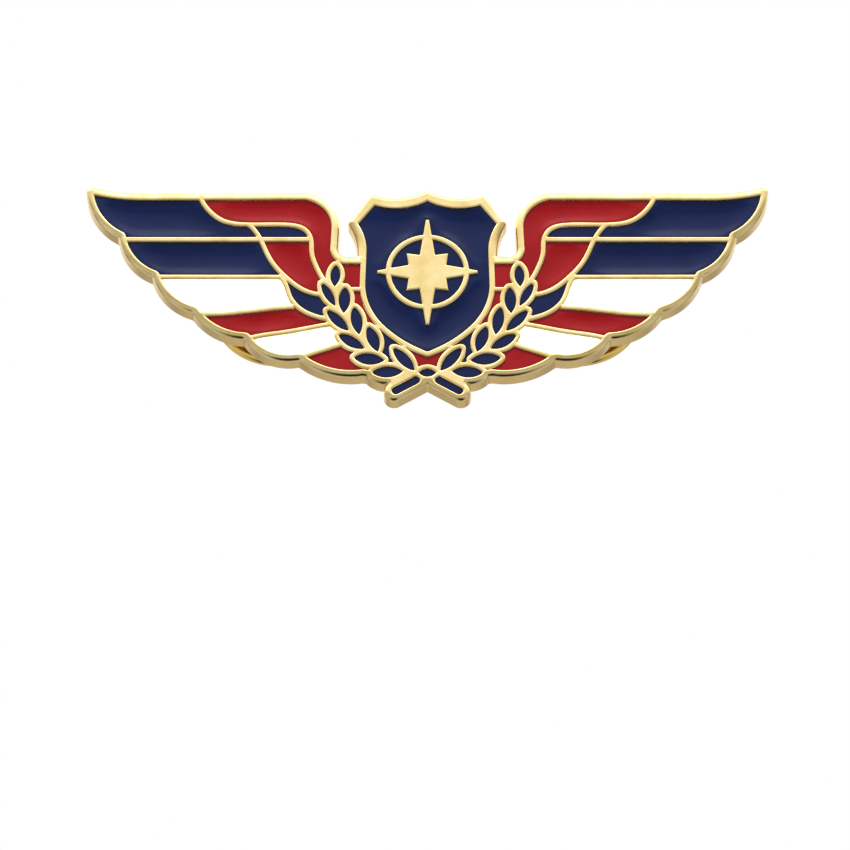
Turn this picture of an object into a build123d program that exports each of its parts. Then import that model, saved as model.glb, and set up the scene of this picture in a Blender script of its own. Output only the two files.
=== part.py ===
"""Pilot wings pin: a die-struck, gold-plated soft-enamel badge on two posts with butterfly clutches.

Frame, in millimetres: +X along the wingspan, +Z up as worn, and +Y out of the flat back, the way
the posts point. The origin is on the back face, midway between the two posts.
The badge is drawn on its right half, seen from the front as (x, z), and mirrored to the left; its
drawing's zero line lies POST_RISE below the posts.
"""
from build123d import *
import os
from math import cos, radians, sin

# ---------------------------------------------------------------- driving dimensions, mm
PLATE_THICK = 1.8          # back face to the tops of the struck ridges
POCKET_DEPTH = 0.6         # ridge top to the floor of an enamel pocket
ENAMEL_THICK = 0.38        # soft enamel stops short of the ridge tops

EDGE_RIDGE = 0.68          # border ridge of the wings, outline to pocket
FIELD_DROP = 0.12          # the wings' pockets sit this low in their outline, so the border is widest on top
DRAWING_DROP = 0.21        # and the rest of the pockets' drawing this low
NOTCH_R = 0.35             # rounding of the outline's notches between the scallops
SHIELD_RIDGE = 0.53        # ridge round the shield, where it crosses the wings
FEATHER_RIDGE = 0.46       # ridges between the feathers
LEAF_RIDGE = 0.46          # border of each leaf of the wreath
LEAF_REACH = 1.2           # how far the border's arcs run past the leaf's ends, in borders
LEAF_TIP_R = 0.16          # rounding of a leaf's outer tip
LAST_LEAF_EXTRA = 0.12     # more border on the lowest leaf, where it makes the badge's edge
WING_RIB_EXTRA = 0.06      # more width on the ridge across the whole wing
STEM_METAL_R = 0.85        # metal round each crossed stem at the bottom, from its middle line
STEM_ENDS = ((0, -6.9), (2.75, -8.5))
STEM_FIELD_AT = (1.78, -7.83)
STEM_FIELD_TURN = -30.0
STEM_FIELD_LONG = 2.5
STEM_FIELD_WIDE = 0.62
CORNER_R = 0.3             # rounding of the shield's corners
BIG = 40.0                 # larger than the badge, for cutting halves

POST_SPACING = 25.0
POST_RISE = 1.15           # the posts stand this far above the badge drawing's zero line
POST_ROOT_R = 0.6          # the stretch that the cloth sits on
POST_ROOT_LONG = 1.15
POST_R = 0.55
POST_LONG = 5.35
POST_POINT_LONG = 0.9
POST_POINT_R = 0.12
GROOVE_R = 0.42            # the ring that the clutch's jaws drop into
GROOVE_LOW = 2.4
GROOVE_HIGH = 2.85
GROOVE_SLOPE = 0.1         # how far up its walls lean
POST_STEP = 0.05           # the slope from the root down to the shank
SOLDER_R = 1.0
SOLDER_HIGH = 0.3
SOLDER_WAIST = (0.13, 0.1)  # its hollow, from the post's side and above the back

CLOTH_GAP = 1.4            # back face to the clutch's lowest point
RIM_R = 5.25               # middle of the clutch's rolled rim
RIM_TUBE_R = 0.45
RIM_SINK = 0.2             # how deep the flat rings of the shell run into the rim
LIP_THICK = 0.24           # the lip turned in under the disc
LIP_WIDE = 0.4
SHELL_THICK = 0.3
ROOF_THICK = 0.1           # flat ring between the dome and the rolled rim
DOME_R = 4.6               # outside of the dome where it meets the rim
DOME_LOW = 2.15
DOME_TOP = 5.8
OPENING_OFFSET = 2.5       # middle of each finger opening from the bridge's middle
OPENING_LONG = 6.6
OPENING_WIDE = 3.7
OPENING_CLEAR = 0.4        # the openings stop this far above the dome's foot
DISC_R = 4.7
DISC_THICK = 0.28
DISC_HOLE_R = 0.75
RUNNING_GAP = 0.06         # between pieces that turn on each other
SPRING_THICK = 0.25
WEB_LONG = 6.6
WEB_WIDE = 4.8
WING_WIDE = 4.2
BRIDGE_ANGLE = {"left": 128.0, "right": 40.0}   # of each clutch's bridge, from +X towards +Z, degrees

SIDES = {"left": -1, "right": 1}
FRONT = Plane.XZ           # a sketch's x and y are the badge's x and z; extruding goes to the front


# ---------------------------------------------------------------- drawing helpers
def closed(*edges):
    """A face inside a ring of edges."""
    return make_face(Curve() + list(edges))


def arc(start, middle, end):
    return ThreePointArc(start, middle, end)


def line(*points):
    return Polyline(*points)


def both_sides(face):
    return face + mirror(face, about=Plane.YZ)


def rib(width, *points):
    """A ridge of even width along a smooth line through the points."""
    middle = Spline(*points) if len(points) > 2 else Line(*points)
    steps = 4 * len(points) if len(points) > 2 else 1
    along = [n / steps for n in range(steps + 1)]
    across = [(middle % u).rotate(Axis.Z, 90) * (width / 2) for u in along]
    left = [middle @ u + side for u, side in zip(along, across)]
    right = [middle @ u - side for u, side in zip(along, across)]
    edge = Spline if len(points) > 2 else Line
    return closed(edge(*left), Line(left[-1], right[-1]), edge(*reversed(right)), Line(right[0], left[0]))


def lens(start, end, width):
    """Two arcs that meet at both ends."""
    start, end = Vector(*start), Vector(*end)
    along = end - start
    across = Vector(-along.Y, along.X).normalized() * (width / 2)
    middle = (start + end) / 2
    return closed(arc(start, middle + across, end), arc(end, middle - across, start))


def leaf(base, tip, width):
    """A leaf's enamel: pointed at its base, with the outer tip rounded off."""
    shape = lens(base, tip, width)
    return fillet(shape.vertices().sort_by_distance(Vector(*tip))[0], LEAF_TIP_R)


def leaf_metal(base, tip, width, border=None):
    """The raised metal under a leaf: its border all round, with round ends."""
    border = border or LEAF_RIDGE
    start, end = Vector(*base), Vector(*tip)
    reach = (end - start).normalized() * (border * LEAF_REACH)
    shape = lens(start - reach, end + reach, width + 2 * border)
    return fillet(shape.vertices(), border)


# ---------------------------------------------------------------- outline of the badge
def wing_outline():
    """Right wing, from the badge's middle out along the top to the tip and back along five scallops."""
    return closed(
        line((0, 3.9), (6.7, 3.9)),
        arc((6.7, 3.9), (7.25, 4.15), (7.42, 4.8)),
        line((7.42, 4.8), (7.35, 6.6)),
        arc((7.35, 6.6), (8.05, 8.7), (10.2, 9.9)),
        line((10.2, 9.9), (23.6, 9.85)),
        arc((23.6, 9.85), (26.0, 10.0), (28.0, 10.4)),
        arc((28.0, 10.4), (28.4, 10.25), (28.53, 9.8)),
        arc((28.53, 9.8), (27.65, 7.4), (25.75, 5.7)),
        arc((25.75, 5.7), (24.65, 3.35), (22.85, 2.05)),
        arc((22.85, 2.05), (21.6, 0.0), (19.45, -1.3)),
        arc((19.45, -1.3), (17.6, -3.0), (15.15, -3.72)),
        arc((15.15, -3.72), (13.15, -5.4), (10.6, -5.65)),
        arc((10.6, -5.65), (8.2, -6.9), (5.3, -7.1)),
        line((5.3, -7.1), (3.4, -7.45), (0, -7.45), (0, 3.9)),
    )


def soft_notches(wing):
    """The right wing with the notches between its scallops rounded."""
    notches = ((25.75, 5.7), (22.85, 2.05), (19.45, -1.3), (15.15, -3.72), (10.6, -5.65))
    corners = [wing.vertices().sort_by_distance(Vector(*notch))[0] for notch in notches]
    return fillet(corners, NOTCH_R)


def shield_outline():
    """The shield down to the wings, outside edge, with its corners rounded."""
    half = closed(
        arc((0, 10.15), (2.6, 9.37), (4.8, 9.8)),
        line((4.8, 9.8), (6.65, 7.05)),
        arc((6.65, 7.05), (6.0, 5.5), (5.85, 3.8)),
        line((5.85, 3.8), (0, 3.8), (0, 10.15)),
    )
    shield = both_sides(half)
    corners = [point for point in shield.vertices() if point.Y > 5]
    return fillet(corners, CORNER_R)


def shield_field():
    """Right half of the shield's enamel field."""
    return closed(
        arc((0, 9.2), (2.7, 8.49), (4.4, 8.78)),
        line((4.4, 8.78), (5.74, 7.07)),
        arc((5.74, 7.07), (5.2, 5.85), (5.04, 4.5)),
        line((5.04, 4.5), (5.12, 1.3)),
        arc((5.12, 1.3), (4.6, -0.85), (3.3, -2.6)),
        arc((3.3, -2.6), (1.85, -3.75), (0, -4.7)),
        line((0, -4.7), (0, 9.2)),
    )


def stem_field():
    """Right stem's enamel strip, at the badge's foot."""
    return Pos(*STEM_FIELD_AT) * Rot(0, 0, STEM_FIELD_TURN) * SlotOverall(STEM_FIELD_LONG, STEM_FIELD_WIDE)


def stem_metal():
    """The foot that carries the right stem."""
    return make_face(offset(Line(*STEM_ENDS), amount=STEM_METAL_R, side=Side.BOTH).edges())


# ---------------------------------------------------------------- wreath
LEAVES = (                 # base, tip and width of each leaf on the right, from the top down
    ((7.70, 1.28), (7.58, 3.22), 0.74),
    ((7.66, -0.52), (8.78, 1.60), 0.64),
    ((6.92, -1.18), (6.82, 1.18), 0.88),
    ((6.56, -2.80), (8.32, -0.94), 0.80),
    ((5.64, -3.15), (6.06, -0.64), 0.86),
    ((5.26, -4.46), (7.34, -3.18), 0.86),
    ((4.10, -4.72), (4.88, -2.44), 0.90),
    ((3.58, -5.54), (6.04, -5.30), 0.98),
    ((1.10, -6.46), (2.82, -4.40), 0.86),
    ((2.06, -6.55), (4.56, -6.66), 0.94),
)


KNOT = ((-0.68, -6.67), (0.68, -6.67), 0.66)   # the small lens where the two stems cross


# ---------------------------------------------------------------- feather ridges, right half
def feather_ridges():
    bar = FEATHER_RIDGE
    return [
        rib(bar + WING_RIB_EXTRA, (26.4, 5.62), (9.7, 5.62)),
        rib(bar, (23.4, 2.15), (12.3, 2.13)),
        rib(bar, (19.0, 9.6), (18.3, 8.4), (17.0, 7.37), (15.3, 7.03), (14.0, 7.01), (11.6, 6.99),
            (10.3, 6.62), (9.72, 5.7), (9.62, 4.4), (9.2, 3.0), (8.6, 1.8)),
        rib(bar, (14.95, 7.05), (13.87, 5.55), (13.1, 3.8), (11.7, 2.05), (10.3, 0.95), (8.8, 0.5)),
        rib(bar, (12.35, 2.3), (11.75, 1.4), (11.3, 0.1), (10.2, -1.05), (8.9, -1.6), (8.1, -1.8)),
        rib(bar, (19.4, -1.25), (16.3, -1.2), (13.8, -0.9), (11.0, -0.64)),
        rib(bar, (15.4, -3.75), (14.4, -3.42), (11.6, -2.93), (9.0, -2.4), (7.7, -2.15)),
        rib(bar, (11.2, -5.45), (10.0, -5.08), (8.4, -4.52), (6.9, -4.0)),
        rib(bar, (6.7, 1.0), (5.2, 1.0)),
    ]


POCKETS = {                # one enamel pocket of the right wing: a point inside it
    "primary_1_navy": (22.0, 7.5),
    "covert_red": (12.0, 8.2),
    "covert_sliver_navy": (12.0, 6.3),
    "primary_2_navy": (18.0, 4.0),
    "secondary_red": (11.5, 3.5),
    "primary_3_white": (16.0, 0.8),
    "tertial_navy": (9.9, -0.2),
    "primary_4_red": (13.0, -2.0),
    "primary_5_white": (11.0, -4.0),
    "primary_6_red": (8.0, -5.5),
    "inner_block_red": (6.3, 2.2),
    "inner_sliver_red": (5.8, 0.3),
    "inner_wedge_navy": (3.45, -4.2),
}
BASE_POCKET = (0.3, -5.5)  # the pocket under the shield's point, which crosses the middle


# ---------------------------------------------------------------- compass star on the shield
STAR_MIDDLE = (0, 2.6)
STAR_POINT_R = 4.9         # up and down
STAR_SIDE_R = 4.2          # left and right
STAR_SHORT_R = 2.5         # diagonals
STAR_WAIST_R = 1.75
STAR_TIP = 0.32            # width of a long point's blunt tip
RING_R = 3.25
RING_WIDE = 0.5


def compass_star():
    """An eight-pointed compass star, with blunt long points, over a thin ring."""
    star = Circle(RING_R + RING_WIDE / 2) - Circle(RING_R - RING_WIDE / 2)
    half_tip = STAR_TIP / 2
    for quarter, reach in enumerate((STAR_SIDE_R, STAR_POINT_R, STAR_SIDE_R, STAR_POINT_R)):
        waists = [(STAR_WAIST_R * cos(radians(a)), STAR_WAIST_R * sin(radians(a))) for a in (-22.5, 22.5)]
        long_point = line((0, 0), waists[0], (reach, -half_tip), (reach, half_tip), waists[1], (0, 0))
        short_point = line((0, 0), waists[0], (STAR_SHORT_R, 0), waists[1], (0, 0))
        star = star + Rot(0, 0, 90 * quarter) * closed(long_point)
        star = star + Rot(0, 0, 90 * quarter + 45) * closed(short_point)
    return Pos(*STAR_MIDDLE) * star


# ---------------------------------------------------------------- the badge's sketches
def draw_badge():
    """The badge's outline, and its enamel pockets by name, as flat faces."""
    field_half = shield_field()
    leaves = [leaf(*shape) for shape in LEAVES]
    knot = lens(*KNOT)
    wings = both_sides(wing_outline())

    outline = both_sides(soft_notches(wing_outline())) + shield_outline() + both_sides(stem_metal())
    lower = Pos(0, -DRAWING_DROP)
    outline = outline + lower * both_sides(leaf_metal(*LEAVES[-1], border=LEAF_RIDGE + LAST_LEAF_EXTRA))

    shield = both_sides(field_half)
    wing_field = Pos(0, DRAWING_DROP - FIELD_DROP) * offset(wings, amount=-EDGE_RIDGE)
    open_field = wing_field & (Pos(BIG / 2, 0) * Rectangle(BIG, BIG))
    metal = feather_ridges() + [leaf_metal(*shape) for shape in LEAVES]
    metal += [leaf_metal(*KNOT), offset(shield, amount=SHIELD_RIDGE)]
    for piece in metal:
        open_field = open_field - piece
    cells = open_field.faces()

    def cell_at(point):
        return Sketch() + [face for face in cells if face.is_inside(Vector(*point))]

    pockets = {}
    for name, point in POCKETS.items():
        cell = cell_at(point)
        pockets[f"{name}_right"] = cell
        pockets[f"{name}_left"] = mirror(cell, about=Plane.YZ)
    for name, cell in (("leaves_navy", Sketch() + leaves), ("stem_navy", stem_field())):
        pockets[f"{name}_right"] = cell
        pockets[f"{name}_left"] = mirror(cell, about=Plane.YZ)
    pockets["base_wedge_red"] = both_sides(cell_at(BASE_POCKET))
    pockets["knot_navy"] = knot

    shield = (shield - compass_star()).faces().sort_by(SortBy.AREA)
    pockets["shield_navy"] = Sketch() + [shield[-1]]
    pockets["compass_navy"] = Sketch() + shield[:-1]
    return outline, {name: lower * cell for name, cell in pockets.items()}


def badge_parts():
    outline, pockets = draw_badge()
    pocket_floor = PLATE_THICK - POCKET_DEPTH
    drop = Pos(0, -POST_RISE)
    plate = extrude(FRONT * drop * outline, amount=PLATE_THICK)
    parts = {}
    for name, cell in pockets.items():
        on_floor = FRONT.offset(pocket_floor) * drop * cell
        plate = plate - extrude(on_floor, amount=POCKET_DEPTH)
        parts[f"enamel_{name}"] = extrude(on_floor, amount=ENAMEL_THICK)
    parts["badge_plate"] = plate
    return parts


# ---------------------------------------------------------------- post, in its own frame, +Z off the back
def turned(profile):
    """A turned piece from its half profile, drawn as (radius, height)."""
    return revolve(Plane.XZ * profile, axis=Axis.Z)


def post():
    shoulder = POST_LONG - POST_POINT_LONG
    return turned(closed(line(
        (0, 0), (POST_ROOT_R, 0), (POST_ROOT_R, POST_ROOT_LONG), (POST_R, POST_ROOT_LONG + POST_STEP),
        (POST_R, GROOVE_LOW), (GROOVE_R, GROOVE_LOW + GROOVE_SLOPE),
        (GROOVE_R, GROOVE_HIGH - GROOVE_SLOPE),
        (POST_R, GROOVE_HIGH), (POST_R, shoulder), (POST_POINT_R, POST_LONG), (0, POST_LONG), (0, 0),
    )))


def solder_fillet():
    out, up = SOLDER_WAIST
    return turned(closed(
        line((POST_ROOT_R, SOLDER_HIGH), (POST_ROOT_R, 0), (SOLDER_R, 0)),
        arc((SOLDER_R, 0), (POST_ROOT_R + out, up), (POST_ROOT_R, SOLDER_HIGH)),
    ))


# ---------------------------------------------------------------- butterfly clutch
# Its frame has +Z off the back and +X along the bridge, and the wings stand to its +Y and -Y.
RIM_LEVEL = CLOTH_GAP + RIM_TUBE_R
LIP_TOP = CLOTH_GAP + LIP_THICK
DISC_LOW = LIP_TOP + RUNNING_GAP
DISC_TOP = DISC_LOW + DISC_THICK
WEB_LOW = DISC_TOP + RUNNING_GAP
WEB_TOP = WEB_LOW + SPRING_THICK
TAB_R = DISC_R             # the spring's two end tabs, held between the disc and the shell's roof
FULCRUM = (1.5, 2.98)      # where a wing rocks, from the bridge's middle and above the back
FULCRUM_RIB = (1.55, 0.14)  # middle and width of the rib that it rocks on
FULCRUM_GAP = 0.12
JAW = (0.76, 2.62)         # inner end of a wing, at the post's groove
EAR = (2.45, 4.25)         # outer end of a wing, in the finger opening


def dome_arc(wall_in):
    """Radius and middle height of the ball that the dome is cut from, for a surface wall_in inside it."""
    rise = DOME_TOP - DOME_LOW
    radius = (DOME_R**2 + rise**2) / (2 * rise)
    return radius - wall_in, DOME_TOP - radius


def clutch_shell():
    outer_r, middle = dome_arc(0)
    inner_r, _ = dome_arc(SHELL_THICK)
    ball = Pos(0, 0, middle) * (Sphere(outer_r) - Sphere(inner_r))
    dome = ball & (Pos(0, 0, DOME_LOW + BIG / 2) * Box(BIG, BIG, BIG))
    rim = Pos(0, 0, RIM_LEVEL) * Torus(RIM_R, RIM_TUBE_R)
    collar_in = DISC_R + RUNNING_GAP
    collar = Pos(0, 0, (LIP_TOP + DOME_LOW) / 2) * (
        Cylinder(RIM_R - RIM_SINK, DOME_LOW - LIP_TOP) - Cylinder(collar_in, DOME_LOW - LIP_TOP))
    roof_in = (inner_r**2 - (DOME_LOW - middle)**2)**0.5
    roof = Pos(0, 0, DOME_LOW + ROOF_THICK / 2) * (
        Cylinder(RIM_R - RIM_SINK, ROOF_THICK) - Cylinder(roof_in, ROOF_THICK))
    lip = Pos(0, 0, (CLOTH_GAP + LIP_TOP) / 2) * (
        Cylinder(RIM_R, LIP_TOP - CLOTH_GAP) - Cylinder(DISC_R - LIP_WIDE, LIP_TOP - CLOTH_GAP))
    shell = dome + rim + collar + roof + lip
    for side in SIDES.values():
        opening = Pos(0, side * OPENING_OFFSET) * Ellipse(OPENING_LONG / 2, OPENING_WIDE / 2)
        shell = shell - extrude(Pos(0, 0, DOME_LOW + OPENING_CLEAR) * opening, amount=BIG)
    return shell


def clutch_disc():
    return Pos(0, 0, (DISC_LOW + DISC_TOP) / 2) * (
        Cylinder(DISC_R, DISC_THICK) - Cylinder(DISC_HOLE_R, DISC_THICK))


def spring_web():
    """The flat strip of the spring, with thin end tabs and a rib under each wing for it to rock on."""
    strip = Pos(0, 0, (WEB_LOW + WEB_TOP) / 2) * (
        Box(WEB_WIDE, WEB_LONG, SPRING_THICK) - Cylinder(DISC_HOLE_R, SPRING_THICK))
    tab_thick = DOME_LOW - WEB_LOW
    tabs = Cylinder(TAB_R, tab_thick) & Box(WEB_WIDE, 2 * TAB_R, tab_thick)
    strip = strip + Pos(0, 0, WEB_LOW + tab_thick / 2) * (tabs - Cylinder(DISC_HOLE_R, tab_thick))
    rib_middle, rib_wide = FULCRUM_RIB
    rib_top = FULCRUM[1] - SPRING_THICK / 2 - FULCRUM_GAP
    for side in SIDES.values():
        strip = strip + Pos(0, side * rib_middle, (WEB_TOP + rib_top) / 2) * Box(
            WING_WIDE, rib_wide, rib_top - WEB_TOP)
    return strip


def clutch_wing(side):
    """One spring wing: a bent strip from its jaw at the post, over its fulcrum, up to its ear."""
    section = make_face(offset(
        Polyline(JAW, FULCRUM, EAR), amount=SPRING_THICK / 2, side=Side.BOTH).edges())
    strip = extrude(Plane.YZ.offset(-WING_WIDE / 2) * section, amount=WING_WIDE)
    return strip if side > 0 else mirror(strip, about=Plane.XZ)


def clutch_parts(side_name):
    x = SIDES[side_name] * POST_SPACING / 2
    turn = radians(BRIDGE_ANGLE[side_name])
    seat = Plane(origin=(x, 0, 0), x_dir=(cos(turn), 0, sin(turn)), z_dir=(0, 1, 0))
    pieces = {
        "post": post(),
        "solder_fillet": solder_fillet(),
        "clutch_base_disc": clutch_disc(),
        "clutch_shell": clutch_shell(),
        "clutch_spring_web": spring_web(),
        "clutch_wing_a": clutch_wing(1),
        "clutch_wing_b": clutch_wing(-1),
    }
    return {f"{name}_{side_name}": seat * piece for name, piece in pieces.items()}


# ---------------------------------------------------------------- write one file per node
def build():
    parts = badge_parts()
    for side_name in SIDES:
        parts.update(clutch_parts(side_name))
    os.makedirs("parts", exist_ok=True)
    for name, shape in parts.items():
        export_step(shape, f"parts/{name}.step")


build()
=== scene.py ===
"""Pilot wings pin: its looks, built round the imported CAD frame.

Everything is in the CAD's own frame, in metres: +X along the wingspan, +Y out of the back and +Z up.
Outlines are read from the CAD nodes and worked on in millimetres, as (x, z) seen from the front.
"""

import math

import bpy
import numpy as np
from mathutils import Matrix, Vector, kdtree
from mathutils.geometry import delaunay_2d_cdt


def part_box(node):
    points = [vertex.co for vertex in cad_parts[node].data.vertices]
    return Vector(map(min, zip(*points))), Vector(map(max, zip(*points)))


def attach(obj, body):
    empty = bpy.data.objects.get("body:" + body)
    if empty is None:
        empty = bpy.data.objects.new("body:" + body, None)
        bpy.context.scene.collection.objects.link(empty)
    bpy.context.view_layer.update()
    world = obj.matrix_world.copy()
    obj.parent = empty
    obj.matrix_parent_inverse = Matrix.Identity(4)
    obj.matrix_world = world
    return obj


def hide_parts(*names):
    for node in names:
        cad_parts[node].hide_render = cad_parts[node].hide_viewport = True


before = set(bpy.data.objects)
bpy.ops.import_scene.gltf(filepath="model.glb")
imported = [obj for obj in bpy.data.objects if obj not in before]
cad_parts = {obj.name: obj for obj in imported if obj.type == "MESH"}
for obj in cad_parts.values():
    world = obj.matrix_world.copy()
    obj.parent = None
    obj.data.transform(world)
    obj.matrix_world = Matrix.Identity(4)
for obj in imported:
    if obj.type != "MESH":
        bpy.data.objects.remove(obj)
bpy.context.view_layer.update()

MM = 0.001
SIDES = ("left", "right")

# ---------------------------------------------------------------- shapes, mm
OUTER_ROUND = 0.42         # rounding of the badge's outer front edge
RIDGE_ROUND = 0.17         # rounding of the struck ridges round each pocket
BACK_ROUND = 0.07          # the back's edge is nearly sharp
POCKET_FLOOR = 0.6         # below the ridge tops
ENAMEL_RIM = 0.19          # where the enamel climbs to at a pocket's wall, below the ridge tops
ENAMEL_DIP = 0.30          # how much lower it settles away from the walls
ENAMEL_REACH = 0.55        # how far from a wall the climb fades out
ENAMEL_CROWD = 0.08        # the most that walls close together add to the climb, as a share of the dip
ENAMEL_GRID = 0.2          # spacing of points over the enamel
ENAMEL_GRID_CLEAR = 0.16   # the grid's distance from the walls
ENAMEL_RINGS = (0.04, 0.10)  # two rows of points along the walls
ROW_SHARE = 0.87           # spacing of a grid's rows, as a share of the spacing in a row
OUTLINE_STEP = 0.13        # spacing of points along an outline
LEVEL_SLACK = 0.002        # how level a flat face's corners are
MERGE_DIGITS = 4           # vertices that agree to this many decimals are one
SHORTEST_EDGE = 0.001
CORNER_TURN = math.radians(50)   # a bend sharper than this is a corner
SWERVE = math.radians(15)  # a curve may leave the line of a long edge by this much
LONG_EDGE = 0.9            # an edge longer than this counts as long
LONG_SHARE = 4             # an edge this many times its neighbour's length keeps its own direction
FAN_FROM = math.radians(12)      # offset points fan out round a bend sharper than this
FAN_STEP = math.radians(24)
OWN_BORDER = 0.985         # an offset point this near its full distance belongs to its own border
OWN_WALL = 0.97            # the same for the rows in the enamel
BORDER_SLACK = 1e-4        # error allowed in that
SAME_POINT = 1e-6          # points closer than this are joined when triangulating
TINY = 1e-9                # as good as nothing
POINTS_AT_ONCE = 400       # how many points a large sum takes at a time

# the clutches, in each one's own frame: u along its bridge, v across it, and height off the badge's back
BRIDGE_ANGLE = {"left": 128.0, "right": 40.0}   # of each bridge, from +X towards +Z, degrees
CLOTH_GAP = 1.4            # back face to the clutch's lowest point
DOME_R = 4.7236            # the dome is part of a ball
DOME_MIDDLE = 1.0764       # height of the ball's middle
DOME_EDGE = 1.298          # how far down the dome's skins go, as an angle from the top, radians
DOME_GRID = 0.36           # spacing of points over the dome
SHELL_THICK = 0.3
OPENING_OFFSET = 2.5
OPENING_LONG = 6.6
OPENING_WIDE = 3.7
OPENING_POINTS = 84
LIP_ROUND = 0.42           # how softly the metal turns in at a finger opening
LIP_EDGE = 0.1             # the metal's thickness at the lip's edge
LIP_LEAN = 0.6             # how far the inner skin's normals lean there
SHELL_BENDS = (0.05, 0.06, 0.06, 0.08, 0.08, 0.44, 0.58, 0.22, 0.015, 0.1)   # inner skin to outer
ROOF_LOW = 2.15            # under the flat ring between the dome and the rim
GROOVE_FLOOR = 2.2         # on top of it
GROOVE_R = 4.86            # where the groove meets the rim
RIM_R = 5.7
RIM_TOP = 2.44
COLLAR_R = 4.76            # the rim's inside, round the disc
LIP_R = 4.3                # the lip that is turned in under the disc
LIP_TOP = 1.64
DISC_R = 4.7
DISC_LOW = 1.7
DISC_TOP = 1.98
DISC_HOLE_R = 0.75
COLLAR_DEEP = 0.12         # how far the disc's collar hangs below it
COLLAR_WIDE = 0.5
COLLAR_FOOT = 0.7          # from the hole's edge to where the collar's slope ends
DISC_BENDS = (0.1, 0.1, 0.1, 0.08, 0.12, 0.12)   # from its outer edge over the top to the collar
WEB_LOW = 2.04
WEB_TOP = 2.29
WEB_WIDE = 4.8
WEB_LONG = 6.6
WEB_CORNER = 0.3
WEB_STEP = 0.4             # spacing of points along its edges
WEB_ROUND = 0.05           # rounding of its edges
TAB_ROUND = 0.03           # and of the end tabs' and ribs' edges
TAB_OVERLAP = 0.4          # how far an end tab lies along the web
RIB_AT = 1.55
RIB_SINK = 0.1             # how deep a rib's foot is set in the web
RIB_TOP = 2.735
RIB_THICK = 0.14
SPRING_THICK = 0.25
WING_WIDE = 4.2
JAW = (0.76, 2.62)         # (v, height) of a wing's inner end
FULCRUM = (1.5, 2.98)      # where it rocks
EAR = (2.45, 4.25)         # its outer end
WING_BEND = 0.5            # radius of its bend
WING_ROUND = 0.06          # rounding of its edges
END_TURNS = (80, 55, 28)   # where a strip's round ends are sampled, degrees
EDGE_TILTS = (90, 60, 30, 0)     # and its rounded edges
POST_ROOT_R = 0.6
POST_ROOT_LONG = 1.15
POST_STEP = 0.05           # the slope from the root down to the shank
POST_R = 0.55
POST_LONG = 5.35
POST_POINT_LONG = 0.9
POST_POINT_R = 0.12
POST_GROOVE_R = 0.42
POST_GROOVE_LOW = 2.4
POST_GROOVE_HIGH = 2.85
POST_GROOVE_SLOPE = 0.1
POST_BENDS = (0.02, 0.03, 0.03, 0.04, 0.05, 0.05, 0.04, 0.5, 0.09)   # from its foot to its point
SOLDER_R = 1.0
SOLDER_HIGH = 0.3
SOLDER_HOLLOW = (0.76, 0.09)     # (radius, height) of the middle of its hollow side
SOLDER_LIP = 0.03          # how far its top reaches out from the post
SOLDER_INNER_R = 0.57      # a little inside the post, so that no gap shows
SOLDER_START_R = 0.8       # its profile starts on the underside
SOLDER_BENDS = (0.008, 0.35, 0.01, 0.02, 0.02)
TURNS = 96                 # points round a turned piece
ARC_STEP = math.radians(14)

# ---------------------------------------------------------------- sizes that come from the frame, mm
FRONT = -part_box("badge_plate")[0].y / MM
BACK = 0.0


# ================================================================ outlines
def mesh_points(node):
    """A CAD node's vertices in mm."""
    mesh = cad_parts[node].data
    points = np.empty(len(mesh.vertices) * 3)
    mesh.vertices.foreach_get("co", points)
    return points.reshape(-1, 3) / MM


def flat_outlines(node, level):
    """The outlines, as (x, z), of a CAD node's flat faces at y = level."""
    points = mesh_points(node)
    first_at = {}
    merged = [first_at.setdefault(tuple(np.round(p, MERGE_DIGITS)), i) for i, p in enumerate(points)]
    edges = set()
    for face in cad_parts[node].data.polygons:
        ring = [merged[i] for i in face.vertices]
        if max(abs(points[i][1] - level) for i in ring) > LEVEL_SLACK:
            continue
        for a, b in zip(ring, ring[1:] + ring[:1]):
            if (b, a) in edges:
                edges.remove((b, a))
            else:
                edges.add((a, b))
    after = dict(edges)
    outlines = []
    while after:
        start, here = after.popitem()
        loop = [start]
        while here != start:
            loop.append(here)
            here = after.pop(here)
        outlines.append(counterclockwise(points[loop][:, [0, 2]]))
    return outlines


def area_of(loop):
    x, y = loop[:, 0], loop[:, 1]
    return (x * np.roll(y, -1) - np.roll(x, -1) * y).sum() / 2


def counterclockwise(loop):
    return loop if area_of(loop) > 0 else loop[::-1]


def turn_between(a, b):
    return math.atan2(a[0] * b[1] - a[1] * b[0], a[0] * b[0] + a[1] * b[1])


def edges_of(loop):
    """Directions and lengths of an outline's edges."""
    ahead = np.roll(loop, -1, axis=0) - loop
    length = np.linalg.norm(ahead, axis=1)
    return ahead / length[:, None], length


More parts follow.
